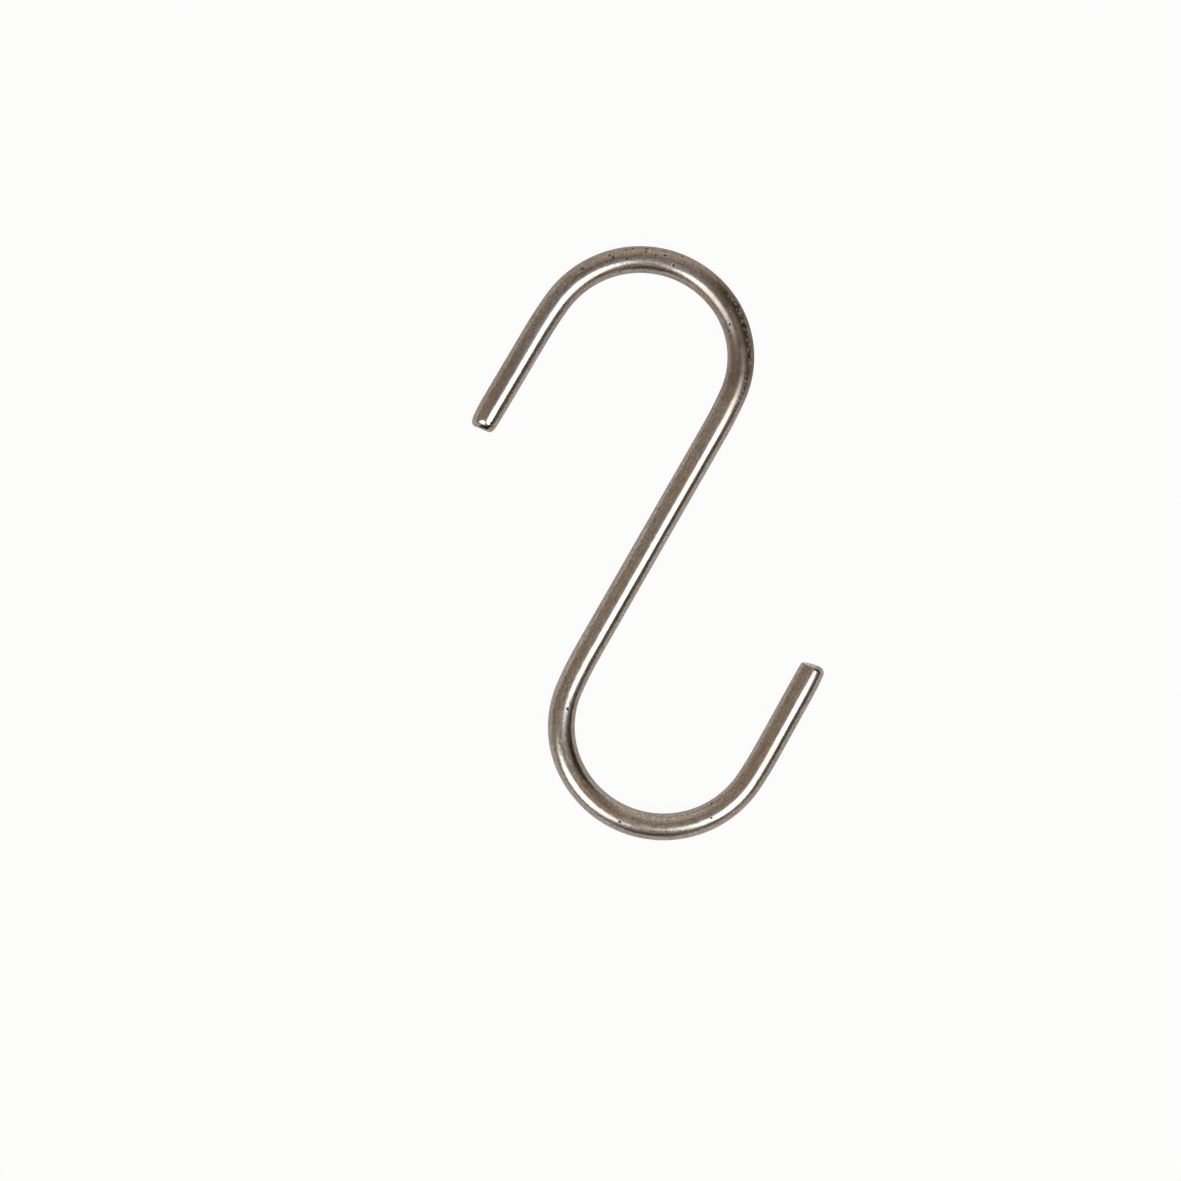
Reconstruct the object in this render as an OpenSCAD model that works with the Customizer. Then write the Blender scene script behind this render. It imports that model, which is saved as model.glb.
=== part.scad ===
// S hook: one round steel wire, sheared to length at both ends and bent twice
// in one plane, so that it makes two open hooks facing opposite ways.
// It lies flat on its side. The line through the two saddles runs along Y, the
// upper hook is towards +Y, and its open leg is on the -X side.
// Each bend starts gently, is a little tighter next to the shank than over its
// crown, and ends gently, the way wire leaves a bending pin.

/* [Wire] */
// Diameter of the wire
wire_d = 4.0; // [3:0.1:5]
// Straight length of the shank between the two bends
shank_l = 38.1; // [30:0.1:60]

/* [Upper hook] */
// Centreline radius of the bend next to the shank
upper_near_r = 13.93; // [11:0.01:18]
// Centreline radius of the bend over the crown and down to the leg
upper_far_r = 15.24; // [12:0.01:19]
// Whole turn from the shank to the leg, in degrees
upper_turn = 179.198; // [150:0.001:190]
// Part of the turn made at the near radius, in degrees
upper_near_turn = 57.9; // [40:0.1:75]
// Gentle start of the bend, in degrees
upper_ease_in = 6.0; // [2:0.1:10]
// Gentle end of the bend, in degrees
upper_ease_out = 5.3; // [2:0.1:10]
// Straight length of the leg up to the middle of its cut end
upper_leg_l = 16.55; // [8:0.05:25]

/* [Lower hook] */
// Centreline radius of the bend next to the shank
lower_near_r = 14.35; // [11:0.01:18]
// Centreline radius of the bend over the crown and up to the leg
lower_far_r = 15.31; // [12:0.01:19]
// Whole turn from the shank to the leg, in degrees
lower_turn = 180.802; // [150:0.001:190]
// Part of the turn made at the near radius, in degrees
lower_near_turn = 48.3; // [40:0.1:75]
// Gentle start of the bend, in degrees
lower_ease_in = 6.1; // [2:0.1:10]
// Gentle end of the bend, in degrees
lower_ease_out = 4.8; // [2:0.1:10]
// Straight length of the leg up to the middle of its cut end
lower_leg_l = 14.80; // [8:0.05:25]

/* [Cut ends] */
// Slant of the burnished half of the cut face, on the right towards the tip
burnish_slant = 10; // [6:0.5:12]
// Slant of the other half, where the steel broke
break_slant = 4.5; // [1:0.5:5]
// Radius that tumbling gave the rim of the burnished half
burnish_rim_r = 1.0; // [0.6:0.05:1.0]
// Radius that tumbling gave the rim of the broken half
break_rim_r = 0.9; // [0.6:0.05:1.0]
// How much the wire's radius draws in towards the cut
draw_in = 0.10; // [0.06:0.01:0.15]
// Length over which it draws in
draw_in_l = 4.0; // [3:0.1:6]

/* [Hidden] */
$fn = 96;

wire_r = wire_d / 2;
steel = [0.60, 0.57, 0.53];
// The wire eases in and out of a bend at this many times the bend's radius
ease_ratio = 4;
// The rim's rounding would be complete this far outside the wire, so that it
// meets the wall at a clear angle
rim_reach = 0.03;
// The burnished half is rounded about an axis this far off the wire's
burnish_shift = 0.2;

// A run of wire is a list of bends, each [radius, turn]. Every bend turns left.
function bend_run(near_r, far_r, whole, near, ease_in, ease_out) = [
    [ease_ratio * near_r, ease_in],
    [near_r, near],
    [far_r, whole - near - ease_in - ease_out],
    [ease_ratio * far_r, ease_out],
];

upper_run = bend_run(upper_near_r, upper_far_r, upper_turn, upper_near_turn,
                     upper_ease_in, upper_ease_out);
lower_run = bend_run(lower_near_r, lower_far_r, lower_turn, lower_near_turn,
                     lower_ease_in, lower_ease_out);
// Which bend of a run goes over the crown
crown = 2;

// Directions for a heading in degrees: 0 is along +Y, and it grows to the left
function ahead(heading) = [-sin(heading), cos(heading)];
function left(heading) = [-cos(heading), -sin(heading)];

// A place on the wire is [point, heading]
function centre_of(place, radius) = place[0] + radius * left(place[1]);
function after(place, bend) =
    [centre_of(place, bend[0]) - bend[0] * left(place[1] + bend[1]), place[1] + bend[1]];
function place_at(run, start, n) = n == 0 ? start : after(place_at(run, start, n - 1), run[n - 1]);

// Both ends of the shank, which stands along Y here
upper_start = [[0, shank_l / 2], 0];
lower_start = [[0, -shank_l / 2], 180];
upper_leg_place = place_at(upper_run, upper_start, len(upper_run));
lower_leg_place = place_at(lower_run, lower_start, len(lower_run));
upper_tip = upper_leg_place[0] + upper_leg_l * ahead(upper_leg_place[1]);
lower_tip = lower_leg_place[0] + lower_leg_l * ahead(lower_leg_place[1]);
upper_centre = centre_of(place_at(upper_run, upper_start, crown), upper_far_r);
lower_centre = centre_of(place_at(lower_run, lower_start, crown), lower_far_r);

// Turn that lays the line through both crown centres along Y
load_line = upper_centre - lower_centre;
lay_angle = atan2(load_line.x, load_line.y);
function laid(p) = [p.x * cos(lay_angle) - p.y * sin(lay_angle),
                    p.x * sin(lay_angle) + p.y * cos(lay_angle)];
// Middle of the hook's width and length
mid_x = (laid(upper_tip).x + laid(lower_tip).x) / 2;
mid_y = (laid(upper_centre).y + upper_far_r + laid(lower_centre).y - lower_far_r) / 2;

// Moves to a point in two steps, whole hundredths and then the rest, so that
// every piece meets the next one without a gap
module move_to(p) {
    hundredths = [for (v = p) round(v * 100) / 100];
    translate(hundredths) translate(p - hundredths) children();
}

module straight(length) {
    rotate([-90, 0, 0]) cylinder(r = wire_r, h = length);
}

module bend(place, radius, turn) {
    move_to(centre_of(place, radius))
        rotate_extrude(start = place[1], angle = turn)
            translate([radius, 0]) circle(r = wire_r);
}

// Everything outside a rounded rim and past a face that slants across Y = 0
module rim_cutter(slant, rim_r, shift) {
    flat_r = wire_r + rim_reach - rim_r;
    past_tip = 2 * draw_in_l;
    rotate([0, 0, slant]) translate([-shift, 0, 0])
        rotate([-90, 0, 0])
            rotate_extrude()
                difference() {
                    translate([0, -rim_r]) square([wire_d, rim_r + past_tip]);
                    translate([0, -rim_r]) square([flat_r, rim_r]);
                    translate([flat_r, -rim_r]) circle(r = rim_r);
                }
}

// One half of the wire's end, to the right (side = 0) or the left (side = -1)
module half_space(side) {
    wide = 2 * wire_d;
    translate([side * wide, -wide, -wire_d]) cube([wide, 3 * wide, 2 * wire_d]);
}

// Straight leg that draws in towards its sheared end. The face has two halves,
// burnished by the blade on the right and broken off on the left.
module leg(place, length) {
    move_to(place[0]) rotate([0, 0, place[1]])
        difference() {
            union() {
                straight(length - draw_in_l);
                translate([0, length - draw_in_l, 0]) rotate([-90, 0, 0])
                    cylinder(r1 = wire_r, r2 = wire_r - 2 * draw_in, h = 2 * draw_in_l);
            }
            translate([0, length, 0]) {
                intersection() {
                    rim_cutter(burnish_slant, burnish_rim_r, burnish_shift);
                    half_space(0);
                }
                intersection() {
                    rim_cutter(break_slant, break_rim_r, 0);
                    half_space(-1);
                }
            }
        }
}

// All bends of one hook, and its leg
module wire_run(run, start, leg_l) {
    for (n = [0 : len(run) - 1])
        bend(place_at(run, start, n), run[n][0], run[n][1]);
    leg(place_at(run, start, len(run)), leg_l);
}

module hook() {
    color(steel)
        translate([-mid_x, -mid_y, wire_r])
            rotate([0, 0, lay_angle]) {
                translate([0, -shank_l / 2, 0]) straight(shank_l);
                wire_run(upper_run, upper_start, upper_leg_l);
                wire_run(lower_run, lower_start, lower_leg_l);
            }
}

hook();
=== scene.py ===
# %% [markdown]
# # An S hook bent from one piece of steel wire
#
# The real thing is a length of round stainless wire. A machine sheared it to length, bent it round
# two pins into an S, and a tumbling drum took the sharp edges off both cut ends. There are no
# joints, no threads and no coating, so everything that the eye gets comes from three things: the
# exact line of the bends, the way the cut ends look, and what the bare metal mirrors.
#
# The imported CAD model is the frame. It fixes the size and the place.

# %% Load the frame
import math

import bmesh
import bpy
from mathutils import Matrix, Vector, noise


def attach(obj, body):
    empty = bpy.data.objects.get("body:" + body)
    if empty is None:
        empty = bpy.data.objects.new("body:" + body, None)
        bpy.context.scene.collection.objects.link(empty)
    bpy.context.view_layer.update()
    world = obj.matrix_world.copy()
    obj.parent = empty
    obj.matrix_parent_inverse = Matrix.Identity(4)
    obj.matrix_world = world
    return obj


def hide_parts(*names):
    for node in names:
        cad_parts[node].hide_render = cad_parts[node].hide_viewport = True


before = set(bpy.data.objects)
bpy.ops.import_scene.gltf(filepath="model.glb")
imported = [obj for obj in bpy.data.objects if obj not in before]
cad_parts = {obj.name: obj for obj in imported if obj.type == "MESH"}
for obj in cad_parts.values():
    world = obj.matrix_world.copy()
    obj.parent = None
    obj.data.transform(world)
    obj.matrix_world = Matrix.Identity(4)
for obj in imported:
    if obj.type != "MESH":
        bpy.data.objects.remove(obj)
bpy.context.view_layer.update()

MM = 0.001  # one millimetre in the frame's metres

# %% [markdown]
# ## The line of the wire
#
# A wire that is bent cold round a pin doesn't turn at one even radius. It leaves the straight shank
# gently, lies tight on the pin next to the shank, opens a little over the crown, and leaves the
# bend gently again. The sizes here are those of the CAD part, in millimetres, because a reader
# thinks of a hook in millimetres. The mesh is scaled to metres at the very end.
#
# The line could be one curve object with a round bevel, but then the cut ends would have to be
# glued on. Bending a mesh ring by ring, as the machine does, keeps wire and ends in one skin.

# %% Sizes of the bent wire, in millimetres
WIRE_R = 2.0
SHANK = 38.1
EASE_RATIO = 4  # the first and last part of a bend have this many times its radius
DRAW_IN_L = 4.0  # length over which the wire draws in towards a cut

# Each hook: a list of bends [radius, turn in degrees], then its straight leg
UPPER = dict(near_r=13.93, far_r=15.24, turn=179.198, near=57.9, ease_in=6.0, ease_out=5.3, leg=16.55)
LOWER = dict(near_r=14.35, far_r=15.31, turn=180.802, near=48.3, ease_in=6.1, ease_out=4.8, leg=14.80)


def bends_of(hook):
    """The four bends that follow each other from the shank to the leg."""
    over_crown = hook["turn"] - hook["near"] - hook["ease_in"] - hook["ease_out"]
    return [
        (EASE_RATIO * hook["near_r"], hook["ease_in"]),
        (hook["near_r"], hook["near"]),
        (hook["far_r"], over_crown),
        (EASE_RATIO * hook["far_r"], hook["ease_out"]),
    ]


def ahead(heading):
    """Direction of travel for a heading in degrees: 0 is along +Y, and it grows to the left."""
    a = math.radians(heading)
    return Vector((-math.sin(a), math.cos(a), 0))


def left(heading):
    return ahead(heading + 90)


def run_length(hook):
    return sum(r * math.radians(turn) for r, turn in bends_of(hook)) + hook["leg"]


UPPER_LENGTH, LOWER_LENGTH = run_length(UPPER), run_length(LOWER)
WIRE_LENGTH = UPPER_LENGTH + SHANK + LOWER_LENGTH
print("wire length in mm:", round(WIRE_LENGTH, 2))

# %% [markdown]
# ## Bending a mesh ring
#
# `bmesh.ops.create_circle` makes one ring of points in the middle of the shank. Straight parts are
# that ring extruded and moved. A bend is the same ring swept round the bend's centre by
# `bmesh.ops.spin`, in short steps. Each step is its own call, so that each new ring can be told how
# far along the wire it is.
#
# That distance goes into a vector on every point, `straight`: the place the point would have if
# the wire had never been bent, in millimetres, with the upper tip at 0. Extruding copies it, so
# only its last number changes from ring to ring. All patterns of the finish read it later, so
# they run with the wire and need no seam.

# %% A mesh that remembers the unbent wire
AROUND = 96  # points in a ring
STEP_DEG = 1.25  # turn between two rings in a bend
STEP_MM = 0.8  # distance between two rings in a straight part

bm = bmesh.new()
straight = bm.verts.layers.float_vector.new("straight")
sheared = bm.verts.layers.float.new("sheared")  # 1 on a cut face, 0 on the wall
rounded = bm.verts.layers.float.new("rounded")  # 1 from the middle of the rim inwards
print("rings in half a turn:", round(180 / STEP_DEG))

# %% [markdown]
# Both kinds of step make one new ring out of the last one. `extruded` moves it straight on, and
# `spun` turns it round the centre of a bend. Each works from the edges between a ring's own points,
# so that the rings before it are left alone.

# %% One more ring


def ring_edges(verts):
    """The edges that join points of one ring."""
    ring = set(verts)
    return [e for e in {e for v in verts for e in v.link_edges} if set(e.verts) <= ring]


def set_along(verts, along):
    for v in verts:
        x, y, _ = v[straight]
        v[straight] = Vector((x, y, along))


def extruded(ring, step):
    """A new ring, one step further along a straight part."""
    made = bmesh.ops.extrude_edge_only(bm, edges=ring_edges(ring))["geom"]
    verts = [g for g in made if isinstance(g, bmesh.types.BMVert)]
    bmesh.ops.translate(bm, verts=verts, vec=step)
    return verts


def spun(ring, centre, angle):
    """A new ring, turned by angle round a bend's centre."""
    made = bmesh.ops.spin(
        bm, geom=ring_edges(ring), cent=centre, axis=(0, 0, 1), dvec=(0, 0, 0),
        angle=angle, steps=1, use_merge=False, use_normal_flip=False, use_duplicate=False,
    )["geom_last"]
    return [g for g in made if isinstance(g, bmesh.types.BMVert)]


print("ways to make a ring:", extruded.__name__, "and", spun.__name__)

# %% [markdown]
# A straight part and a bend are many such steps of equal size, so a change of `STEP_MM` or
# `STEP_DEG` alters how fine the mesh is, and not where the wire goes.

# %% Straight parts and bends


def go_straight(ring, heading, length, along, sign):
    steps = max(1, round(length / STEP_MM))
    for _ in range(steps):
        ring = extruded(ring, ahead(heading) * (length / steps))
        along += sign * length / steps
        set_along(ring, along)
    return ring, along


def go_round(ring, place, heading, radius, turn, along, sign):
    """Sweeps one bend to the left. Returns the last ring and the new place, heading and distance."""
    centre = place + radius * left(heading)
    steps = max(2, round(turn / STEP_DEG))
    for _ in range(steps):
        ring = spun(ring, centre, math.radians(turn / steps))
        along += sign * radius * math.radians(turn / steps)
        set_along(ring, along)
    return ring, centre - radius * left(heading + turn), heading + turn, along


print("steps in the shank:", 2 * round(SHANK / 2 / STEP_MM))

# %% [markdown]
# The first ring is shared. The upper hook starts from it towards +Y and the lower one towards -Y.
# `sign` says which way that is along the unbent wire: -1 is towards the upper tip.

# %% The first ring, and the way to one tip
middle = bmesh.ops.create_circle(
    bm, cap_ends=False, segments=AROUND, radius=WIRE_R, matrix=Matrix.Rotation(math.pi / 2, 4, "X")
)["verts"]
for v in middle:
    v[straight] = Vector((v.co.x, v.co.z, UPPER_LENGTH + SHANK / 2))
print("points in the first ring:", len(middle))


def bend_hook(hook, heading, sign):
    """Sweeps half the shank and one hook's bends, up to where its leg draws in for the cut."""
    along = UPPER_LENGTH + SHANK / 2
    ring, along = go_straight(middle, heading, SHANK / 2, along, sign)
    place = ahead(heading) * SHANK / 2
    for radius, turn in bends_of(hook):
        ring, place, heading, along = go_round(ring, place, heading, radius, turn, along, sign)
    ring, along = go_straight(ring, heading, hook["leg"] - DRAW_IN_L, along, sign)
    return ring, place + ahead(heading) * hook["leg"], heading, along


# %% [markdown]
# ## The cut ends
#
# A shear cuts wire in two moments. The blade first burnishes its way in and slants the face, then
# the rest snaps off nearly square. So the face has two halves that meet in a shallow kink, and the
# wire draws in a little towards the cut. Tumbling then rounds the rim.
#
# A bevel on a flat disc would give the rounding but not the slant, the kink or the drawn-in wall.
# So each end goes on from the last ring of its leg: rings are extruded one by one, each is sized
# and moved to its place on the profile, and the last one is merged to the pole of the face.

# %% The profile of a cut end
# Slants and lean in degrees, the rest in mm. A rim is (length along the wire, depth across it).
# Towards the short side the rim shrinks as the fade-th power. Its first worn_rings rings were
# polished by the drum, and the rest is as it was cut.
UPPER_CUT = dict(
    long_slant=11.3, short_slant=6.3, lean=0.0, set_back=0.10, rim_long=(1.60, 1.00),
    rim_short=(1.00, 0.66), roll_over=0.66, draw_long=0.16, draw_short=0.06, fade=1,
    worn_rings=12, seed=3.1,
)
LOWER_CUT = dict(
    long_slant=11.0, short_slant=13.5, lean=6.0, set_back=0.12, rim_long=(1.25, 1.00),
    rim_short=(0.18, 0.16), roll_over=0.0, draw_long=0.14, draw_short=0.04, fade=2,
    worn_rings=10, seed=7.7,
)
WALL_RINGS, RIM_RINGS, FACE_RINGS = 12, 12, 16
KINK_WIDTH = 0.25  # the two halves of a face blend over this distance
FACE_RELIEF, RELIEF_OFTEN = 0.03, 3  # how uneven the face is, and hills in a millimetre
POLE_R = 1e-4  # the last ring has this radius before it is merged
ROLL_OVER_AT, ROLL_OVER_WIDE = math.radians(80), math.radians(44)  # where the rim is rolled over most
ROLL_BACK = 0.5  # how far the roll-over reaches back along the wire, as a share of its depth


def face_depth(cut, x, z):
    """How far the face stands out past its middle, x to the right of the heading and z up."""
    a, b = math.tan(math.radians(cut["long_slant"])), math.tan(math.radians(cut["short_slant"]))
    bent = math.sqrt(x * x + KINK_WIDTH**2) - KINK_WIDTH
    return (a + b) / 2 * x + (a - b) / 2 * bent - math.tan(math.radians(cut["lean"])) * z


def profile_of(cut, number, turn):
    """Radius and distance before the face of ring number of a cut end, at one turn round the wire."""
    share = 0.5 + 0.5 * math.cos(turn)  # 1 on the long side, 0 on the short side
    rolled = cut["roll_over"] * math.exp(-(((turn - ROLL_OVER_AT) / ROLL_OVER_WIDE) ** 2))
    along, across = (b + (a - b) * share ** cut["fade"] for a, b in zip(cut["rim_long"], cut["rim_short"]))
    along, across = along + ROLL_BACK * rolled, across + rolled
    draw = cut["draw_short"] + (cut["draw_long"] - cut["draw_short"]) * share
    if number <= WALL_RINGS:
        done = number / WALL_RINGS
        return WIRE_R - draw * done**2, DRAW_IN_L + (along - DRAW_IN_L) * done
    if number <= WALL_RINGS + RIM_RINGS:
        angle = math.pi / 2 * (number - WALL_RINGS) / RIM_RINGS
        return WIRE_R - draw - across * (1 - math.cos(angle)), along * (1 - math.sin(angle))
    inward = (number - WALL_RINGS - RIM_RINGS) / FACE_RINGS
    return max(POLE_R, (WIRE_R - draw - across) * (1 - inward)), 0.0


print("rings in a cut end:", WALL_RINGS + RIM_RINGS + FACE_RINGS)

# %% [markdown]
# `straight` is worked out anew for each ring of an end, since the points of these rings are set one
# by one. Two more numbers go on every point: `sheared` says which faces get the finish of the cut,
# and `rounded` says which are laid out as a disc on the map for baking.

# %% Both cut ends

def cut_end(cut, ring, tip, heading, along, sign):
    """Extrudes the drawn-in wall, the rounded rim and the face, and closes the face at its pole."""
    forward, right = ahead(heading), -left(heading)
    for number in range(1, WALL_RINGS + RIM_RINGS + FACE_RINGS + 1):
        ring = extruded(ring, Vector((0, 0, 0)))
        for v in ring:
            turn = math.atan2(v.co.z, (v.co - tip).dot(right))
            radius, before = profile_of(cut, number, turn)
            x, z = radius * math.cos(turn), radius * math.sin(turn)
            stood = (face_depth(cut, x, z) - cut["set_back"]) * (1 - before / DRAW_IN_L)
            on_face = min(1.0, max(0.0, (number - WALL_RINGS) / RIM_RINGS)) ** 2
            hill = noise.noise(Vector((RELIEF_OFTEN * x, RELIEF_OFTEN * z, cut["seed"])))
            stood += FACE_RELIEF * on_face * hill
            v.co = tip + right * x + Vector((0, 0, z)) + forward * (stood - before)
            flat = Vector(v[straight].xy).normalized() * radius
            v[straight] = Vector((flat.x, flat.y, along + sign * (DRAW_IN_L + stood - before)))
            v[sheared] = float(number >= WALL_RINGS + cut["worn_rings"])
            v[rounded] = float(number >= WALL_RINGS + RIM_RINGS / 2)
    bmesh.ops.pointmerge(bm, verts=ring, merge_co=ring[0].co)


upper_ring, upper_tip, upper_heading, upper_along = bend_hook(UPPER, 0, -1)
lower_ring, lower_tip, lower_heading, lower_along = bend_hook(LOWER, 180, 1)
cut_end(UPPER_CUT, upper_ring, upper_tip, upper_heading, upper_along, -1)
cut_end(LOWER_CUT, lower_ring, lower_tip, lower_heading, lower_along, 1)
print("points:", len(bm.verts), "open edges:", sum(1 for e in bm.edges if not e.is_manifold))

# %% [markdown]
# ## Laying the hook down
#
# So far the shank stands along Y. The part lies so that the line through both crowns is along Y and
# the wire rests on the floor. The same turn and shift are worked out here as in the CAD part.

# %% Turn, shift and scale to the frame
CROWN = 2  # bends that come before the one over the crown
WELD = 1e-7  # points closer than this, in metres, become one


def crown_centre(hook, place, heading):
    for radius, turn in bends_of(hook)[:CROWN]:
        centre = place + radius * left(heading)
        place, heading = centre - radius * left(heading + turn), heading + turn
    return place + hook["far_r"] * left(heading)


upper_crown = crown_centre(UPPER, Vector((0, SHANK / 2, 0)), 0)
lower_crown = crown_centre(LOWER, Vector((0, -SHANK / 2, 0)), 180)
load_line = upper_crown - lower_crown
LAY_ANGLE = math.atan2(load_line.x, load_line.y)
LAY = Matrix.Rotation(LAY_ANGLE, 3, "Z")
mid_x = ((LAY @ upper_tip).x + (LAY @ lower_tip).x) / 2
mid_y = ((LAY @ upper_crown).y + UPPER["far_r"] + (LAY @ lower_crown).y - LOWER["far_r"]) / 2

bmesh.ops.rotate(bm, verts=bm.verts, cent=(0, 0, 0), matrix=LAY)
bmesh.ops.translate(bm, verts=bm.verts, vec=(-mid_x, -mid_y, WIRE_R))
bmesh.ops.scale(bm, verts=bm.verts, vec=(MM, MM, MM))
bmesh.ops.remove_doubles(bm, verts=bm.verts, dist=WELD)
bmesh.ops.recalc_face_normals(bm, faces=bm.faces)
for f in bm.faces:
    f.smooth = True
    f.material_index = 1 if min(v[sheared] for v in f.verts) > 0.5 else 0
print("hook turned by", round(math.degrees(LAY_ANGLE), 2), "degrees")
print("sheared faces:", sum(f.material_index for f in bm.faces))

# %% [markdown]
# ## A map for baking
#
# The finish is a pattern in space, so it needs no UV map here. When the part is exported, its
# finish is baked to pictures, and those need one. The wall is unrolled like the label of a tin and
# cut into lanes that lie above each other, and the two cut faces are laid out as discs above them.

# %% Lanes for the wall, discs for the faces
LANES, LANE_HIGH, LANE_GAP = 4, 0.205, 0.01  # shares of the map
LANE_START, LANE_SPAN, LOWEST = 0.04, 0.92, 0.02
DISC_U, DISC_V, DISC_SCALE = (0.2, 0.5), 0.935, 0.022  # the scale is the share for one millimetre
lane_long = WIRE_LENGTH / LANES
uv_map = bm.loops.layers.uv.new("OFBake")


def lay_on_disc(face):
    end = 0 if face.verts[0][straight].z < WIRE_LENGTH / 2 else 1
    for loop in face.loops:
        x, y, _ = loop.vert[straight]
        loop[uv_map].uv = (DISC_U[end] + DISC_SCALE * x, DISC_V + DISC_SCALE * y)


def lay_in_lane(face):
    centre = sum((v[straight] for v in face.verts), Vector()) / len(face.verts)
    lane = min(LANES - 1, max(0, int(centre.z / lane_long)))
    around = math.atan2(centre.y, centre.x)
    for loop in face.loops:
        x, y, z = loop.vert[straight]
        off = (math.atan2(y, x) - around + math.pi) % (2 * math.pi) - math.pi  # never across the seam
        up = (around + off) / (2 * math.pi) + 0.5
        u = LANE_START + LANE_SPAN * (z / lane_long - lane)
        loop[uv_map].uv = (u, LOWEST + lane * (LANE_HIGH + LANE_GAP) + up * LANE_HIGH)


for face in bm.faces:
    on_face = min(v[rounded] for v in face.verts) > 0.5
    (lay_on_disc if on_face else lay_in_lane)(face)
places = [loop[uv_map].uv for face in bm.faces for loop in face.loops]
print("map from", [round(min(c), 3) for c in zip(*places)], "to", [round(max(c), 3) for c in zip(*places)])

# %% [markdown]
# ## One piece
#
# The real hook is one piece of metal, so the mesh becomes one object, with no parts to join. It
# stands in for the CAD part of the same shape, in the place where that part lies, and nothing on it
# moves, so it rides on the frame's root.

# %% The wire becomes a piece
wire_mesh = bpy.data.meshes.new("bent_wire")
bm.to_mesh(wire_mesh)
bm.free()
bent_wire = bpy.data.objects.new("bent_wire", wire_mesh)
bpy.context.scene.collection.objects.link(bent_wire)
print("faces:", len(wire_mesh.polygons))

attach(bent_wire, "root")
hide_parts("hook")

# %% [markdown]
# ## Helpers for node trees
#
# A finish is a small web of nodes. Blender's own calls for it are long, so a few helpers keep each
# web readable. `add` makes a node, and `connect` gives it its inputs, each of which is either a
# plain value or the output socket of another node. `sums`, `ramp` and `blend` make the three kinds
# that are used most. `start_group` starts a node group with named sockets, and `use` places it.

# %% Add a node, do a sum, start a group and use it


def connect(tree, made, inputs):
    for socket, value in inputs:
        if isinstance(value, bpy.types.NodeSocket):
            tree.links.new(value, made.inputs[socket])
        else:
            made.inputs[socket].default_value = value
    return made


def add(tree, kind, inputs=(), **settings):
    """A new node of a kind, with its settings, and its inputs given as (socket, value) pairs."""
    made = tree.nodes.new("ShaderNode" + kind)
    for name, value in settings.items():
        setattr(made, name, value)
    return connect(tree, made, inputs)


def sums(tree, operation, a, b=0.0, clamp=False):
    return add(tree, "Math", [(0, a), (1, b)], operation=operation, use_clamp=clamp).outputs[0]


def ramp(tree, value, low, high, to_low=0.0, to_high=1.0, soft=False):
    """Stretches low..high to to_low..to_high and holds it there, with soft ends if asked."""
    inputs = [
        ("Value", value), ("From Min", low), ("From Max", high), ("To Min", to_low), ("To Max", to_high)
    ]
    return add(tree, "MapRange", inputs, interpolation_type="SMOOTHSTEP" if soft else "LINEAR").outputs[0]


def blend(tree, factor, a, b):
    return add(tree, "Mix", [("Factor", factor), ("A", a), ("B", b)], data_type="RGBA").outputs["Result"]


SOCKETS = {"value": "NodeSocketFloat", "vector": "NodeSocketVector", "color": "NodeSocketColor"}


def start_group(name, inputs, output, kind="value"):
    """An empty node group: itself, its inputs, and a function that ends it at one output."""
    group = bpy.data.node_groups.new(name, "ShaderNodeTree")
    for label, socket in inputs.items():
        group.interface.new_socket(label, in_out="INPUT", socket_type=SOCKETS[socket])
    group.interface.new_socket(output, in_out="OUTPUT", socket_type=SOCKETS[kind])
    out = group.nodes.new("NodeGroupOutput")

    def end_at(socket):
        group.links.new(socket, out.inputs[output])
        return group

    return group, group.nodes.new("NodeGroupInput").outputs, end_at


def use(tree, group, **inputs):
    """Places a group in a tree. Its inputs are named as in the group, in lower case."""
    made = tree.nodes.new("ShaderNodeGroup")
    made.node_tree = group
    names = {socket.name.lower().replace(" ", "_"): socket.name for socket in made.inputs}
    return connect(tree, made, [(names[key], value) for key, value in inputs.items()]).outputs[0]


print("kinds of group sockets:", list(SOCKETS))

# %% [markdown]
# ## Marks that bare steel wire carries
#
# Both finishes of this hook, the drawn wall and the sheared ends, share these effects. So each one
# is a node group, built once and placed with its own values. All of them read `straight`, the
# place on the unbent wire in millimetres, so a pattern runs along the wire through every bend.
#
# - `drawing_lines`: a die leaves fine lines along the wire. This is noise, stretched along it.
# - `grain`: cold bending and tumbling roughen the skin. This is fine, even noise.
# - `pits`: pores and dents. Each cell of a cell pattern may hold one, and its random colour says
#   whether it does, and how wide it is.
# - `spot`: one pit, crumb or stain at a chosen place, on top of those that were there before.
# - `zone`: 1 between two distances along the wire, with soft ends, to keep a mark in its place.

# %% Node groups for the marks
WOBBLE_OFTEN = 6.0  # waves in a millimetre along the outline of a pit or spot
PIT_SHIFT = (0.15, 0.15, 0.15)  # mm that the wobble moves a pit's outline by, at most
PIT_SMALLEST = 0.5  # smallest scattered pit, as a part of the radius asked for. The largest is 1 more
PIT_FLOOR, SPOT_FLOOR = 0.45, 0.6  # share of its radius within which a mark is at its deepest
SPOT_WOBBLE, SPOT_MARGIN = 0.12, 0.15  # mm that a spot's outline wobbles and fades outwards by


def lines_group():
    group, given, end_at = start_group(
        "drawing_lines", {"Place": "vector", "Across": "value", "Along": "value"}, "Lines"
    )
    across, along = given["Across"], given["Along"]
    stretch = add(group, "CombineXYZ", [("X", across), ("Y", across), ("Z", along)])
    place = add(group, "VectorMath", [(0, given["Place"]), (1, stretch.outputs[0])], operation="MULTIPLY")
    noise_inputs = [("Vector", place.outputs[0]), ("Scale", 1.0), ("Detail", 3.0), ("Roughness", 0.6)]
    return end_at(add(group, "TexNoise", noise_inputs).outputs[0])


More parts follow.
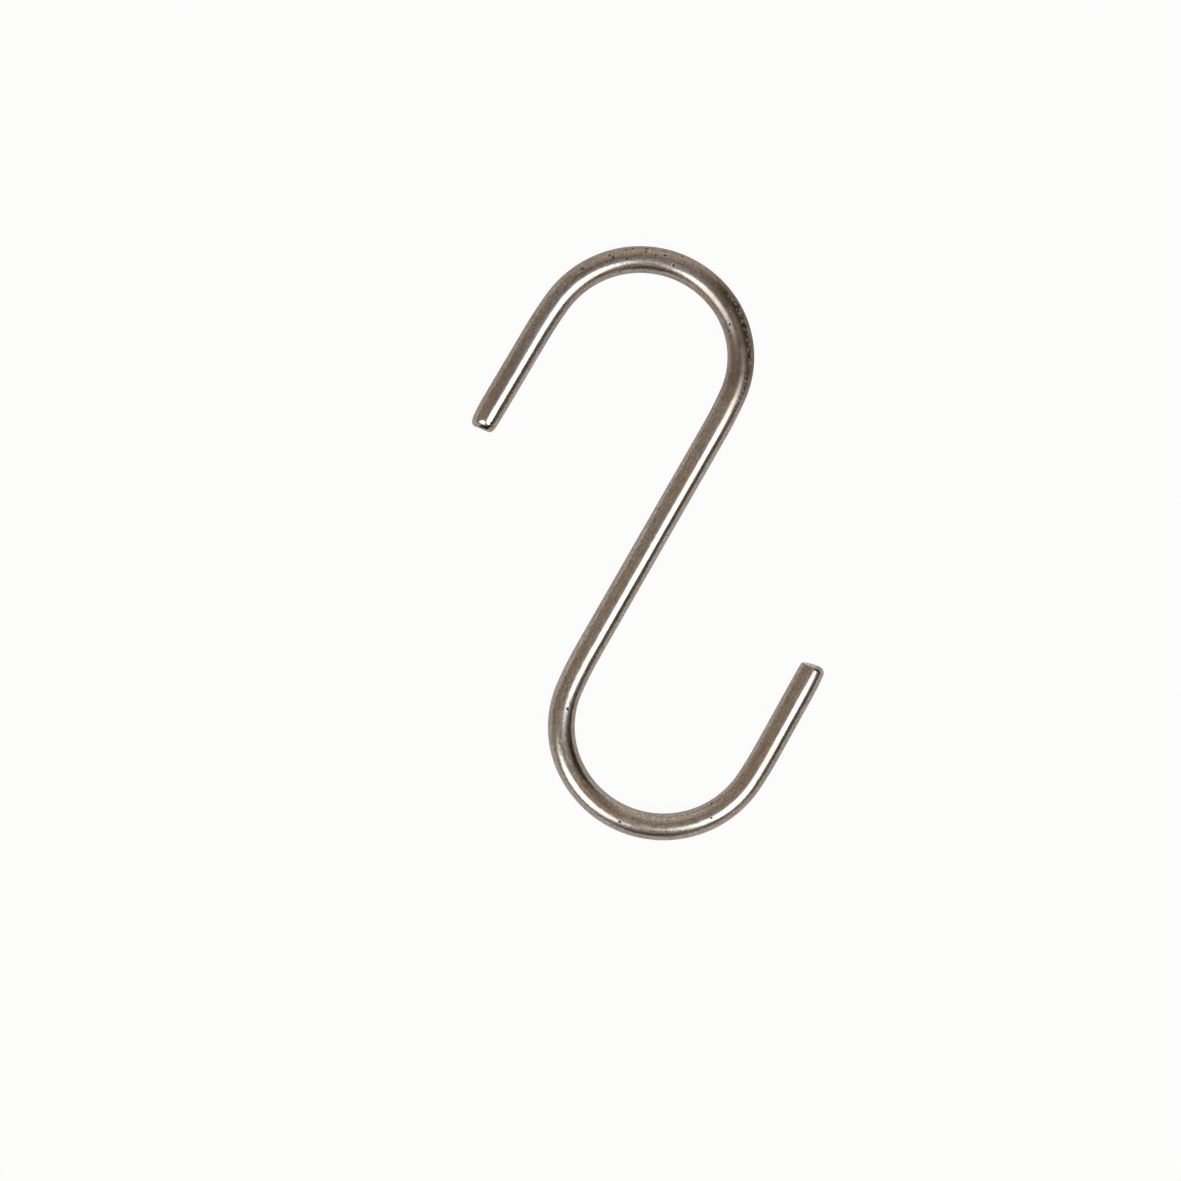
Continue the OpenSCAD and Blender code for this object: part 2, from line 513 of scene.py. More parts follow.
def grain_group():
    group, given, end_at = start_group("grain", {"Place": "vector", "Size": "value"}, "Grain")
    often = sums(group, "DIVIDE", 1.0, given["Size"])
    noise_inputs = [("Vector", given["Place"]), ("Scale", often), ("Detail", 2.0), ("Roughness", 0.55)]
    return end_at(add(group, "TexNoise", noise_inputs).outputs[0])


def pits_group():
    group, given, end_at = start_group(
        "pits", {"Place": "vector", "Spacing": "value", "Radius": "value", "Share": "value"}, "Pits"
    )
    wobble = add(group, "TexNoise", [("Vector", given["Place"]), ("Scale", WOBBLE_OFTEN), ("Detail", 1.0)])
    shift = add(group, "VectorMath", [(0, wobble.outputs[1]), (1, PIT_SHIFT)], operation="MULTIPLY")
    place = add(group, "VectorMath", [(0, given["Place"]), (1, shift.outputs[0])], operation="ADD")
    often = sums(group, "DIVIDE", 1.0, given["Spacing"])
    cells = add(group, "TexVoronoi", [("Vector", place.outputs[0]), ("Scale", often)], feature="F1")
    away = sums(group, "MULTIPLY", cells.outputs["Distance"], given["Spacing"])
    chance = add(group, "SeparateColor", [(0, cells.outputs["Color"])]).outputs
    there = sums(group, "LESS_THAN", chance[0], given["Share"])
    size = sums(group, "MULTIPLY", sums(group, "ADD", chance[1], PIT_SMALLEST), given["Radius"])
    depth = ramp(group, away, size, sums(group, "MULTIPLY", size, PIT_FLOOR), soft=True)
    return end_at(sums(group, "MULTIPLY", depth, there))


def spot_group():
    group, given, end_at = start_group(
        "spot", {"Place": "vector", "Middle": "vector", "Radius": "value", "Before": "value"}, "Spots"
    )
    wobble = add(group, "TexNoise", [("Vector", given["Place"]), ("Scale", WOBBLE_OFTEN), ("Detail", 1.0)])
    away = add(group, "VectorMath", [(0, given["Place"]), (1, given["Middle"])], operation="DISTANCE")
    wobbled = sums(group, "MULTIPLY", wobble.outputs[0], SPOT_WOBBLE)
    ragged = sums(group, "ADD", away.outputs["Value"], wobbled)
    edge = sums(group, "ADD", given["Radius"], SPOT_MARGIN)
    depth = ramp(group, ragged, edge, sums(group, "MULTIPLY", edge, SPOT_FLOOR), soft=True)
    return end_at(sums(group, "MAXIMUM", depth, given["Before"]))


def zone_group():
    group, given, end_at = start_group(
        "zone", {"Place": "vector", "Start": "value", "Stop": "value", "Fade": "value"}, "Zone"
    )
    along = add(group, "SeparateXYZ", [(0, given["Place"])]).outputs["Z"]
    first = sums(group, "SUBTRACT", given["Start"], given["Fade"])
    last = sums(group, "ADD", given["Stop"], given["Fade"])
    rise = ramp(group, along, first, given["Start"], soft=True)
    fall = ramp(group, along, last, given["Stop"], soft=True)
    return end_at(sums(group, "MULTIPLY", rise, fall))


LINES, GRAIN, PITS, SPOT, ZONE = lines_group(), grain_group(), pits_group(), spot_group(), zone_group()
print("node groups:", len(bpy.data.node_groups))

# %% [markdown]
# ## The drawn wall
#
# Drawn wire is bright along its lines and dull across them, and this one is no longer new. Its
# grey has a brown cast where the skin has begun to tarnish, and it is darkest brown round the upper
# bend, where pits have opened on the outside that was stretched.
#
# One noise mixed between two greys would look like paint. So the finish is laid on in the order in
# which the steel got it: the colour of the metal, the cast that varies slowly along it, the
# drawing lines, the grain, the tarnish and at last the pits. Painted shade in the crook of the upper
# bend and a painted cool reflection on top of the upper hook are laid on with the tarnish.

# %% A bare metal to start from
MICRON = 1e-6


def new_metal(name):
    """A material with a bare metal surface: itself, its tree, its shader and the place on the wire."""
    material = bpy.data.materials.new(name)
    material.use_nodes = True
    tree = material.node_tree
    shader = tree.nodes["Principled BSDF"]
    shader.inputs["Metallic"].default_value = 1.0
    return material, tree, shader, add(tree, "Attribute", attribute_name="straight").outputs["Vector"]


drawn_steel, tree, shader, place = new_metal("drawn_steel")
across_wire = add(tree, "SeparateXYZ", [(0, place)]).outputs["X"]
print("metal:", drawn_steel.name)

# %% [markdown]
# Where is what: each bend is a zone of the unbent wire. The bends turn left, so the outside of the
# upper bend is the +X side of the unbent wire, and the outside of the lower bend is its -X side.

# %% Zones of the wall
OFF_LEG, OFF_SHANK, BEND_FADE = 2, 3, 6.0  # mm off the leg and the shank, and of the soft ends
UPPER_BEND = (UPPER["leg"] + OFF_LEG, UPPER_LENGTH - OFF_SHANK)  # mm from the upper tip
LOWER_BEND = (UPPER_LENGTH + SHANK + OFF_SHANK, WIRE_LENGTH - LOWER["leg"] - OFF_LEG)
in_upper = use(tree, ZONE, place=place, start=UPPER_BEND[0], stop=UPPER_BEND[1], fade=BEND_FADE)
in_lower = use(tree, ZONE, place=place, start=LOWER_BEND[0], stop=LOWER_BEND[1], fade=BEND_FADE)
bent = sums(tree, "MAXIMUM", in_upper, in_lower)
outer_side = ramp(tree, across_wire, -0.4, 0.9, soft=True)
print("bends, in mm from the upper tip:", [round(v, 1) for v in (*UPPER_BEND, *LOWER_BEND)])

# %% [markdown]
# The cast is a noise stretched so far that one brown patch is over a centimetre long, and olive
# comes in blotches of about a millimetre. Lines and grain are finer than a reader would guess, about
# 0.3 mm, because the whole wire is only four millimetres thick. Grains of rust are a little larger
# and tint the metal instead of shading it, so the grey is lively from close up and even from afar.
# The grain is weakest on the upper and the lower side of the wire, where hands and shelves rub it,
# and strongest on its flanks.

# %% Colour of the wall
STEEL = (0.502, 0.484, 0.460, 1)
BROWN = (0.46, 0.395, 0.33, 1)
OLIVE = (0.46, 0.44, 0.375, 1)
RUST = (0.43, 0.305, 0.19, 1)
OLIVE_MOST = 0.55  # share of olive in the middle of a blotch
RUST_SHARE, RUST_ON_BEND = 0.32, 0.35  # share of rust in a grain, and more outside the upper bend
LINE_SHADES, BAND_SHADES = (0.78, 1.19), (0.90, 1.08)  # darkest and palest, as parts of the colour
GRAIN_SHADE = 0.32  # what a grain adds to the shade or takes from it
GRAIN_ON_TOP, GRAIN_ON_FLANK = 0.65, 1.5  # times that

cast = use(tree, LINES, place=place, across=0.45, along=0.07)
fine = use(tree, LINES, place=place, across=3.6, along=0.85)
coarse = use(tree, LINES, place=place, across=1.7, along=0.10)
grain = use(tree, GRAIN, place=place, size=0.30)
rust = use(tree, GRAIN, place=place, size=0.42)
blotch = use(tree, GRAIN, place=place, size=1.3)

metal = blend(tree, ramp(tree, cast, 0.40, 0.66), STEEL, BROWN)
metal = blend(tree, ramp(tree, blotch, 0.50, 0.72, 0.0, OLIVE_MOST), metal, OLIVE)
stretched = sums(tree, "MULTIPLY", in_upper, outer_side)
rusty = sums(tree, "ADD", sums(tree, "MULTIPLY", stretched, RUST_ON_BEND), RUST_SHARE)
metal = blend(tree, sums(tree, "MULTIPLY", ramp(tree, rust, 0.50, 0.66), rusty), metal, RUST)
shade = ramp(tree, fine, 0.28, 0.72, *LINE_SHADES)
shade = sums(tree, "MULTIPLY", shade, ramp(tree, coarse, 0.3, 0.7, *BAND_SHADES))
flank = ramp(tree, sums(tree, "ABSOLUTE", across_wire), 0.2, 1.7, GRAIN_ON_TOP, GRAIN_ON_FLANK)
grains = sums(tree, "MULTIPLY", ramp(tree, grain, 0.25, 0.75, -GRAIN_SHADE, GRAIN_SHADE), flank)
shade = sums(tree, "MULTIPLY", shade, sums(tree, "ADD", grains, 1.0))
metal = add(tree, "VectorMath", [(0, metal), (1, shade)], operation="MULTIPLY").outputs[0]
print("colour nodes:", len(tree.nodes))

# %% [markdown]
# Tarnish lies where hands and damp reach and cloths don't: a thin film on the outer side of the upper
# leg and crown, and a little way into the lower bend. The part of the upper bend that runs down to
# the shank is darkest brown, most of all on its inner side, with a ragged edge, and the outer side
# there has flecks of rust. Rust is no metal and mirrors nothing, so the flecks show even where the
# steel mirrors a dark part of the room. The inside of the crook of the upper bend is darkened with
# the same brown, which is painted shade. Along the top of the wire over the upper leg and bend the
# grey is painted cooler, which is a painted reflection of the cool light beside the highlight.

# %% Tarnish, dark brown, painted shade and a painted cool reflection
# Dark brown of the tarnish and of the upper bend; in the crook it is painted shade.
DARK_BROWN_AND_SHADE = (0.155, 0.118, 0.082, 1)
RUST_CRUST = (0.33, 0.25, 0.165, 1)
COOL_REFLECTION = (0.91, 1.00, 1.16, 1)  # painted cool reflection: what it does to each part of the colour
ON_BEND, FILM, ON_START, CROOK_SHADE = 0.90, 0.27, 0.12, 0.45  # how much brown there is at most; in the crook it is painted shade
BLOTCH_WEIGHT = 1.2  # of blotches against grains, in how ragged the tarnish is
THINNEST = 0.65  # share of the tarnish that its thinnest places keep
CRUST_MOST = 0.7  # share of rust in a fleck

brown_bend = use(tree, ZONE, place=place, start=51.0, stop=62.5, fade=7.0)
brown_start = use(tree, ZONE, place=place, start=119.0, stop=128.0, fade=4.0)
thin_film = use(tree, ZONE, place=place, start=8.0, stop=46.0, fade=8.0)
ragged = sums(tree, "ADD", grain, sums(tree, "MULTIPLY", blotch, BLOTCH_WEIGHT))
ragged = ramp(tree, ragged, 0.85, 1.30, THINNEST, 1.0)
dark_brown_and_shade = sums(tree, "MULTIPLY", brown_bend, ramp(tree, across_wire, -2.0, -0.2, 0.25, ON_BEND))
film_and_shade = sums(tree, "MULTIPLY", thin_film, ramp(tree, across_wire, -0.2, 0.5, 0.0, FILM))
film_and_shade = sums(tree, "MAXIMUM", film_and_shade, sums(tree, "MULTIPLY", brown_start, ON_START))
# Painted shade: the inside of the crook of the upper bend is darkened.
crook_shade_mask = sums(tree, "MULTIPLY", in_upper, ramp(tree, across_wire, -1.60, -1.90, 0.0, CROOK_SHADE))
film_and_shade = sums(tree, "MAXIMUM", film_and_shade, crook_shade_mask)
dark_brown_and_shade = sums(tree, "MULTIPLY", sums(tree, "MAXIMUM", dark_brown_and_shade, film_and_shade), ragged)
metal = blend(tree, dark_brown_and_shade, metal, DARK_BROWN_AND_SHADE)
crusted = sums(tree, "MULTIPLY", ramp(tree, across_wire, 0.8, 1.2), ramp(tree, across_wire, 1.8, 1.6, 0.15))
crusted = sums(tree, "MULTIPLY", brown_bend, crusted)
crust = sums(tree, "MULTIPLY", crusted, CRUST_MOST)
flecks = sums(tree, "MULTIPLY", crust, ramp(tree, rust, 0.53, 0.58))
metal = blend(tree, flecks, metal, RUST_CRUST)
tree.links.new(sums(tree, "SUBTRACT", 1.0, flecks), shader.inputs["Metallic"])

# Painted reflection: the top of the wire over the upper hook is tinted a cooler grey.
cool_reflection_mask = use(tree, ZONE, place=place, start=1.0, stop=62.0, fade=4.0)
cool_reflection_mask = sums(tree, "MULTIPLY", cool_reflection_mask, ramp(tree, across_wire, 0.9, 0.2))
cool_reflection_mask = sums(tree, "MULTIPLY", cool_reflection_mask, ramp(tree, across_wire, -0.6, 0.0))
tint = blend(tree, cool_reflection_mask, (1, 1, 1, 1), COOL_REFLECTION)
metal = add(tree, "VectorMath", [(0, metal), (1, tint)], operation="MULTIPLY").outputs[0]
print("shares of tarnish:", ON_BEND, FILM, ON_START, CROOK_SHADE)

# %% [markdown]
# Pits come in two ways. Scattered ones fill in for the many small ones that nobody would place one
# by one: densely on the outside of the upper bend, most of all on its part that runs down to the
# shank, and here and there elsewhere. Each of the dense ones has a halo of rust, which is the same
# cell pattern once more with a larger radius.

# %% Scattered pits
PIT_COLOUR = (0.045, 0.032, 0.025, 1)

DENSE, SPARSE = 0.80, 2.2  # mm from cell to cell
HALO_COLOUR = (0.30, 0.17, 0.08, 1)
HALO_MOST = 0.45  # share of rust in a halo
PIT_SHARE = 0.30  # share of the cells that hold a pit
ELSEWHERE = 0.07  # leaves a trace of the dense pits off the bend too
SPARSE_DEPTH = 0.8  # of the dense pits' depth

where = ramp(tree, sums(tree, "ADD", stretched, ELSEWHERE), 0.0, 0.8)
dense = use(tree, PITS, place=place, spacing=DENSE, radius=0.17, share=PIT_SHARE)
halos = use(tree, PITS, place=place, spacing=DENSE, radius=0.32, share=PIT_SHARE)
eaten = use(tree, PITS, place=place, spacing=0.62, radius=0.22, share=0.70)
eaten = sums(tree, "MULTIPLY", eaten, crusted)
sparse = use(tree, PITS, place=place, spacing=SPARSE, radius=0.16, share=PIT_SHARE)
sparse = sums(tree, "MULTIPLY", sparse, SPARSE_DEPTH)
pits = sums(tree, "MAXIMUM", sums(tree, "MULTIPLY", dense, where), sparse)
pits = sums(tree, "MAXIMUM", pits, eaten)
halos = sums(tree, "MULTIPLY", sums(tree, "MULTIPLY", halos, where), HALO_MOST)
metal = blend(tree, halos, metal, HALO_COLOUR)
print("pit cells in mm:", DENSE, "and", SPARSE)

# %% [markdown]
# The largest marks are listed one by one, because an eye that knows the hook looks for them. Each is
# given by its distance along the wire, its share of the radius off the middle line (plus is the
# outside of the upper bend) and its radius. Pale glints are painted highlights, spots where the rims
# of pits catch the light, and a curve of dark spots runs over the worn rim of the upper end. The rim
# is rounded, so each of these dark spots also gives the wire's radius there.


# %% Marks listed one by one
def on_top(distance, share, reach=WIRE_R):
    """The place on the unbent wire of a mark on its upper side, where the wire has this radius."""
    return (WIRE_R * share, math.sqrt(reach**2 - (WIRE_R * share) ** 2), distance)


def marks(places, before):
    for distance, share, radius, *reach in places:
        middle = on_top(distance, share, *reach)
        before = use(tree, SPOT, place=place, middle=middle, radius=radius, before=before)
    return before


BIG_PITS = [
    (13.8, 0.71, 0.10), (28.1, 0.46, 0.13), (32.3, 0.58, 0.12), (32.7, 0.35, 0.18), (34.6, 0.09, 0.17),
    (37.4, 0.55, 0.11), (38.8, 0.36, 0.10), (40.1, 0.48, 0.13), (41.6, -0.05, 0.20), (52.7, 0.79, 0.20),
    (54.5, -0.40, 0.14), (55.4, -0.64, 0.14), (58.4, 0.48, 0.15), (118.6, 0.35, 0.19), (138.7, -0.29, 0.19),
    (152.4, -0.14, 0.12), (153.5, 0.77, 0.13),
]
# Painted highlights: pale glints where the rims of pits catch the light
PAINTED_GLINTS = [
    (24.8, 0.36, 0.10), (27.4, 0.45, 0.10), (31.6, 0.62, 0.06), (37.8, 0.60, 0.06), (76.4, -0.08, 0.08)
]
# Dark spots over the worn rim of the upper end; the fourth number is the wire's radius there
RIM_DARK_SPOTS = [
    (0.30, 0.04, 0.26, 1.2), (0.44, -0.08, 0.32, 1.35), (0.58, -0.20, 0.34, 1.5), (0.62, -0.40, 0.28, 1.62),
    (1.05, -0.50, 0.26, 1.9), (1.60, -0.53, 0.20, 1.95), (2.20, -0.55, 0.16, 1.97),
]
GLINT_COLOUR = (0.80, 0.76, 0.70, 1)
RIM_DARK_COLOUR = (0.04, 0.022, 0.010, 1)
PIT_MOST, GLINT_MOST, RIM_DARK_MOST = 0.9, 0.75, 0.9  # share of its own colour in each mark

pits = marks(BIG_PITS, pits)
metal = blend(tree, sums(tree, "MULTIPLY", pits, PIT_MOST), metal, PIT_COLOUR)
# Painted glints: pale spots where the rims of pits catch the light.
metal = blend(tree, sums(tree, "MULTIPLY", marks(PAINTED_GLINTS, 0.0), GLINT_MOST), metal, GLINT_COLOUR)
metal = blend(tree, sums(tree, "MULTIPLY", marks(RIM_DARK_SPOTS, 0.0), RIM_DARK_MOST), metal, RIM_DARK_COLOUR)
tree.links.new(metal, shader.inputs["Base Color"])
print("marks placed by hand:", len(BIG_PITS) + len(PAINTED_GLINTS) + len(RIM_DARK_SPOTS))

# %% [markdown]
# Bending stretches the skin into fine hills, like the peel of an orange, so the light blurs more in
# the bends than on the straight parts. Pits, rust and tarnish are dull.
#
# Lines and hills are only a micron or so deep, and pits tens of microns. All of it goes into one
# Bump node whose Distance is one micron, so each pattern's depth can be written in microns.

# %% Roughness and relief of the wall
LINE_DEPTH, PEEL_DEPTH, PIT_DEPTH = 0.5, 1.5, 30.0  # in microns
PEEL_ON_STRAIGHT = 0.2  # of the peel on a bend
SMOOTHEST, ROUGHEST = 0.13, 0.18  # roughness of clean steel, from line to line

rough = ramp(tree, fine, 0.3, 0.7, SMOOTHEST, ROUGHEST)
for cause, amount in ((bent, 0.05), (dark_brown_and_shade, 0.10), (flecks, 0.5), (pits, 0.35)):
    rough = sums(tree, "ADD", rough, sums(tree, "MULTIPLY", cause, amount), clamp=True)
tree.links.new(rough, shader.inputs["Roughness"])

peel = use(tree, GRAIN, place=place, size=0.40)
peel_depth = sums(tree, "MULTIPLY", sums(tree, "ADD", bent, PEEL_ON_STRAIGHT), PEEL_DEPTH)
hills = sums(tree, "MULTIPLY", peel, peel_depth)
height = sums(tree, "ADD", sums(tree, "MULTIPLY", fine, LINE_DEPTH), hills)
height = sums(tree, "SUBTRACT", height, sums(tree, "MULTIPLY", pits, PIT_DEPTH))
bump = add(tree, "Bump", [("Height", height), ("Strength", 1.0), ("Distance", MICRON)])
tree.links.new(bump.outputs[0], shader.inputs["Normal"])
wire_mesh.materials.append(drawn_steel)
print("nodes in drawn steel:", len(tree.nodes))

# %% [markdown]
# ## The sheared faces
#
# A cut face was never drawn or polished. One half is burnished by the blade and the rest is torn,
# so it is paler, duller and rougher than the wall, with shear lines across it and dark specks
# where grit was pressed in. The torn half is painted nearly white, paler than bare steel: partly
# its own matte torn skin and partly a painted highlight. It shares the groups with the wall, with
# its own values.

# %% Finish of the sheared faces
# Paler than bare steel: the torn skin's own pale grey with a painted highlight on it
TORN_AND_HIGHLIGHT = (0.93, 0.92, 0.89, 1)
BURNISHED = (0.52, 0.48, 0.43, 1)
CRUMB_SHADES, SHEAR_SHADES = (0.78, 1.14), (0.86, 1.10)  # darkest and palest
SPECK_MOST = 0.8  # share of the pits' colour in a speck
TORN_ROUGH = (0.38, 0.58)  # least and most roughness
CRUMB_DEPTH, SPECK_DEPTH = 16.0, 25.0  # in microns

sheared_steel, tree, shader, place = new_metal("sheared_steel")
torn = use(tree, GRAIN, place=place, size=0.5)
crumbs = use(tree, GRAIN, place=place, size=0.14)
shear_lines = use(tree, LINES, place=place, across=3.0, along=3.0)
specks = use(tree, PITS, place=place, spacing=0.55, radius=0.13, share=0.45)

half = ramp(tree, add(tree, "SeparateXYZ", [(0, place)]).outputs["X"], -0.6, 0.3)
metal = blend(tree, ramp(tree, sums(tree, "ADD", half, torn), 0.55, 1.1), BURNISHED, TORN_AND_HIGHLIGHT)
shade = ramp(tree, crumbs, 0.3, 0.7, *CRUMB_SHADES)
shade = sums(tree, "MULTIPLY", shade, ramp(tree, shear_lines, 0.3, 0.7, *SHEAR_SHADES))
metal = add(tree, "VectorMath", [(0, metal), (1, shade)], operation="MULTIPLY").outputs[0]
metal = blend(tree, sums(tree, "MULTIPLY", specks, SPECK_MOST), metal, PIT_COLOUR)
tree.links.new(metal, shader.inputs["Base Color"])
tree.links.new(ramp(tree, torn, 0.35, 0.65, *TORN_ROUGH), shader.inputs["Roughness"])

height = sums(tree, "MULTIPLY", crumbs, CRUMB_DEPTH)
height = sums(tree, "SUBTRACT", height, sums(tree, "MULTIPLY", specks, SPECK_DEPTH))
bump = add(tree, "Bump", [("Height", height), ("Strength", 1.0), ("Distance", MICRON)])
tree.links.new(bump.outputs[0], shader.inputs["Normal"])
wire_mesh.materials.append(sheared_steel)
print("materials of the wire:", [m.name for m in wire_mesh.materials])

# %% [markdown]
# ## The camera
#
# A hook lies flat, so it is looked at from straight above, from far enough that both of its ends
# look alike. The view is turned a few degrees, because the hook doesn't lie square to it. The lens
# follows from the width that the view should have at the middle of the wire.

# %% Camera above the hook
PICTURE = 0.17594  # width of the view at the middle of the wire
ABOVE = 1.0  # height of the camera over the middle of the wire
ROLL = math.radians(-3.70)
MIDDLE_OF_VIEW = Vector((-0.008451, -0.006996, 0))  # from the hook's origin, in the view's own axes

camera_data = bpy.data.cameras.new("camera")
camera_data.sensor_width = 36
camera_data.lens = camera_data.sensor_width * ABOVE / PICTURE
camera_data.clip_start, camera_data.clip_end = 0.05, 20
camera = bpy.data.objects.new("camera", camera_data)
turned = Matrix.Rotation(ROLL, 4, "Z")
camera.location = turned @ MIDDLE_OF_VIEW + Vector((0, 0, MM * WIRE_R + ABOVE))
camera.rotation_euler = (0, 0, ROLL)
bpy.context.scene.collection.objects.link(camera)
bpy.context.scene.camera = camera
print("lens in mm:", round(camera_data.lens, 1))

# %% [markdown]
# ## The floor
#
# The hook lies on a sheet of white paper. Lit only by the softboxes it would come out grey, and
# more light would burn out the steel. So nearly all that the camera sees of the paper is its own
# glow, and a reflection of it glows faintly. The rest is lit paper, which takes the hook's shadow
# and throws its own soft light on the steel.

# %% White sheet
CAMERA_GLOW, MIRRORED_GLOW = 0.95, 0.05  # share of glow that a ray meets, the rest is lit paper
FLOOR_RADIUS, FLOOR_SIDES = 6, 128
PAPER = (0.71, 0.66, 0.615, 1)

floor_bm = bmesh.new()
bmesh.ops.create_circle(floor_bm, cap_ends=True, segments=FLOOR_SIDES, radius=FLOOR_RADIUS)
floor_mesh = bpy.data.meshes.new("floor")
floor_bm.to_mesh(floor_mesh)
floor_bm.free()
floor = bpy.data.objects.new("floor", floor_mesh)
bpy.context.scene.collection.objects.link(floor)

white_sheet = bpy.data.materials.new("white_sheet")
white_sheet.use_nodes = True
tree = white_sheet.node_tree
sheet = tree.nodes["Principled BSDF"]
sheet.inputs["Base Color"].default_value = PAPER
sheet.inputs["Roughness"].default_value = 0.9
sheet.inputs["Specular IOR Level"].default_value = 0.1
path = add(tree, "LightPath").outputs
mirrored = sums(tree, "MAXIMUM", path["Is Glossy Ray"], path["Is Transmission Ray"])
seen = sums(tree, "MULTIPLY", path["Is Camera Ray"], CAMERA_GLOW)
share = sums(tree, "MAXIMUM", seen, sums(tree, "MULTIPLY", mirrored, MIRRORED_GLOW))
glow = add(tree, "Emission", [("Strength", 1.0)])
mixed = add(tree, "MixShader", [(0, share), (1, sheet.outputs[0]), (2, glow.outputs[0])])
tree.links.new(mixed.outputs[0], tree.nodes["Material Output"].inputs["Surface"])
floor_mesh.materials.append(white_sheet)
print("floor across, in m:", 2 * FLOOR_RADIUS)

# %% [markdown]
# ## The room
#
# Bare metal has hardly a look of its own: it shows the room. So the room is built with as much care
# as the hook. The world is a warm grey wall all round, and round cards with soft edges lie on it: a
# pale one behind the hook, a small grey one straight above it, two dim ones not far from that, five
# dark ones that draw the dark lines beside the highlights, and one below the horizon that takes up
# the colour of the floor where the floor ends.
#
# Real panels round the hook would do the same, but in the world they are as far away as a large
# studio's, and their light is the same all over the hook. Cards are laid on in order, each over
# those before it.

# %% Directions and a card
def direction(azimuth, from_zenith):
    """A direction in the view's own axes, as the camera is turned."""
    a, z = math.radians(azimuth) + ROLL, math.radians(from_zenith)
    return Vector((math.sin(z) * math.cos(a), math.sin(z) * math.sin(a), math.cos(z)))


def dot(tree, a, b):
    return add(tree, "VectorMath", [(0, a), (1, b)], operation="DOT_PRODUCT").outputs["Value"]


def card_group():
    """A round card on the wall of the room, with a soft edge."""
    sockets = {
        "Direction": "vector", "Around": "color", "Card": "color", "Towards": "vector",
        "Inner": "value", "Outer": "value",
    }
    group, given, end_at = start_group("room_card", sockets, "Color", "color")
    off = sums(group, "ARCCOSINE", dot(group, given["Direction"], given["Towards"]))
    share = ramp(group, off, given["Outer"], given["Inner"], soft=True)
    return end_at(blend(group, share, given["Around"], given["Card"]))


CARD = card_group()
print("inputs of a card:", [i.name for i in CARD.interface.items_tree if i.in_out == "INPUT"])

# %% Walls and cards of the room
WALLS = (0.395, 0.325, 0.265, 1)
CARDS = [
    # colour, azimuth, from zenith, inner radius, outer radius
    ((0.70, 0.595, 0.49, 1), 90, 82, 10, 60),
    ((0.52, 0.50, 0.49, 1), 0, 0, 1.5, 7),
    ((0.98, 0.98, 0.98, 1), 0, 180, 92.0, 92.8),
    ((0.30, 0.245, 0.20, 1), 110, 28, 5, 15),
    ((0.25, 0.205, 0.17, 1), 33, 30, 4, 15),
    ((0.035, 0.03, 0.02, 1), 18.5, 68.5, 8, 43.5),
    ((0.035, 0.03, 0.02, 1), -15.5, 94, 8, 35),
    ((0.025, 0.015, 0.008, 1), -35.0, 64.5, 6.5, 12.5),
    ((0.040, 0.030, 0.020, 1), -62.0, 65.0, 5, 13),
    ((0.10, 0.085, 0.075, 1), -96, 74, 8, 30),
]

room = bpy.data.worlds.new("room")
bpy.context.scene.world = room
room.use_nodes = True
tree = room.node_tree
seen_at = add(tree, "TexCoord").outputs["Generated"]
towards = add(tree, "VectorMath", [(0, seen_at)], operation="NORMALIZE").outputs[0]
light = WALLS
for colour, azimuth, from_zenith, inner, outer in CARDS:
    light = use(
        tree, CARD, direction=towards, around=light, card=colour, towards=direction(azimuth, from_zenith),
        inner=math.radians(inner), outer=math.radians(outer),
    )
print("cards on the walls:", len(CARDS))

# %% [markdown]
# Two oval softboxes light the hook, one from the lower right and one from the lower left. Each
# draws one long white stripe where the wire runs across its direction, and the stripe slides off
# round the bend. Their soft edges are what makes the steel look ground and not chromed.
#
# A softbox is flat, so its shape is worked out on the plane that it lies in: how far off its middle
# a direction hits that plane, measured along its width and its height.


# %% A softbox
FACING_LEAST = 0.01  # so that nothing is divided by zero
FACING_EDGE = 0.02  # a direction that faces the softbox less than this misses it


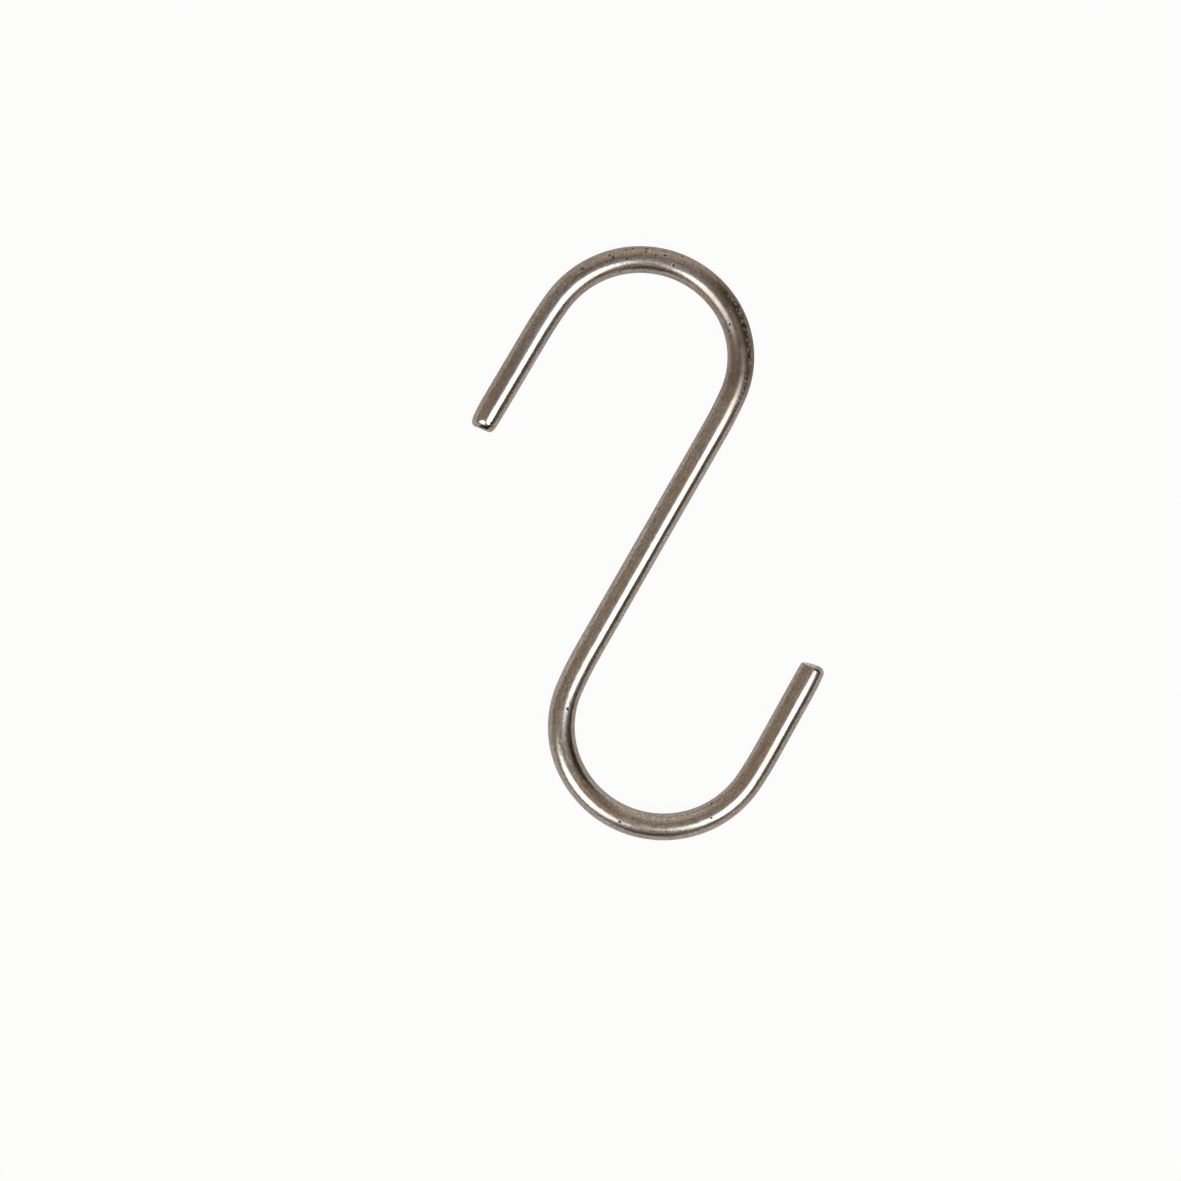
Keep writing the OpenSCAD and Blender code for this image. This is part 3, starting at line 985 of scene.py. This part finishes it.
def softbox_group():
    """An oval softbox. Wide and Tall are its half axes, as one over their slopes."""
    sockets = {
        "Direction": "vector", "Around": "color", "Light": "color", "Towards": "vector",
        "Wide": "vector", "Tall": "vector", "Edge": "value",
    }
    group, given, end_at = start_group("room_softbox", sockets, "Color", "color")
    axes = ("Towards", "Wide", "Tall")
    facing, wide, tall = (dot(group, given["Direction"], given[name]) for name in axes)
    ahead_of = sums(group, "MAXIMUM", facing, FACING_LEAST)
    wide, tall = sums(group, "DIVIDE", wide, ahead_of), sums(group, "DIVIDE", tall, ahead_of)
    flat = add(group, "CombineXYZ", [("X", wide), ("Y", tall)]).outputs[0]
    off = add(group, "VectorMath", [(0, flat)], operation="LENGTH").outputs["Value"]
    starts, ends = sums(group, "ADD", 1.0, given["Edge"]), sums(group, "SUBTRACT", 1.0, given["Edge"])
    share = ramp(group, off, starts, ends, soft=True)
    share = sums(group, "MULTIPLY", share, sums(group, "GREATER_THAN", facing, FACING_EDGE))
    return end_at(blend(group, share, given["Around"], given["Light"]))


SOFTBOX = softbox_group()
print("inputs of a softbox:", [i.name for i in SOFTBOX.interface.items_tree if i.in_out == "INPUT"])

# %% [markdown]
# Both softboxes have the same lamp, which is cool beside the warm walls. Each faces the hook, and is
# rolled about its own direction.

# %% Two softboxes in the room
BRIGHT = 3.9
LAMP = (0.90 * BRIGHT, 0.95 * BRIGHT, BRIGHT, 1)
SOFTBOXES = [
    # azimuth, from zenith, half wide, half tall, roll, softness of the edge
    (-44.4, 34.7, 22.2, 17.3, -34.4, 0.34),
    (-139.4, 44.2, 22.4, 15.5, 16.0, 0.42),
]
for azimuth, from_zenith, half_wide, half_tall, roll, edge in SOFTBOXES:
    out = direction(azimuth, from_zenith)
    wide = Vector((math.sin(-ROLL), math.cos(ROLL), 0)).cross(out).normalized()
    level = Matrix.Rotation(math.radians(roll), 3, out)
    wide, tall = level @ wide, level @ out.cross(wide)
    wide, tall = wide / math.tan(math.radians(half_wide)), tall / math.tan(math.radians(half_tall))
    light = use(
        tree, SOFTBOX, direction=towards, around=light, light=LAMP, towards=out,
        wide=wide, tall=tall, edge=edge,
    )
connect(tree, tree.nodes["Background"], [("Color", light), ("Strength", 1.0)])
print("softboxes:", len(SOFTBOXES), "and node groups in all:", len(bpy.data.node_groups))

# %% [markdown]
# ## Look through the camera and finish
#
# The Standard view shows each colour as it is written, without a film curve over it.

# %% View
bpy.context.scene.view_settings.view_transform = "Standard"
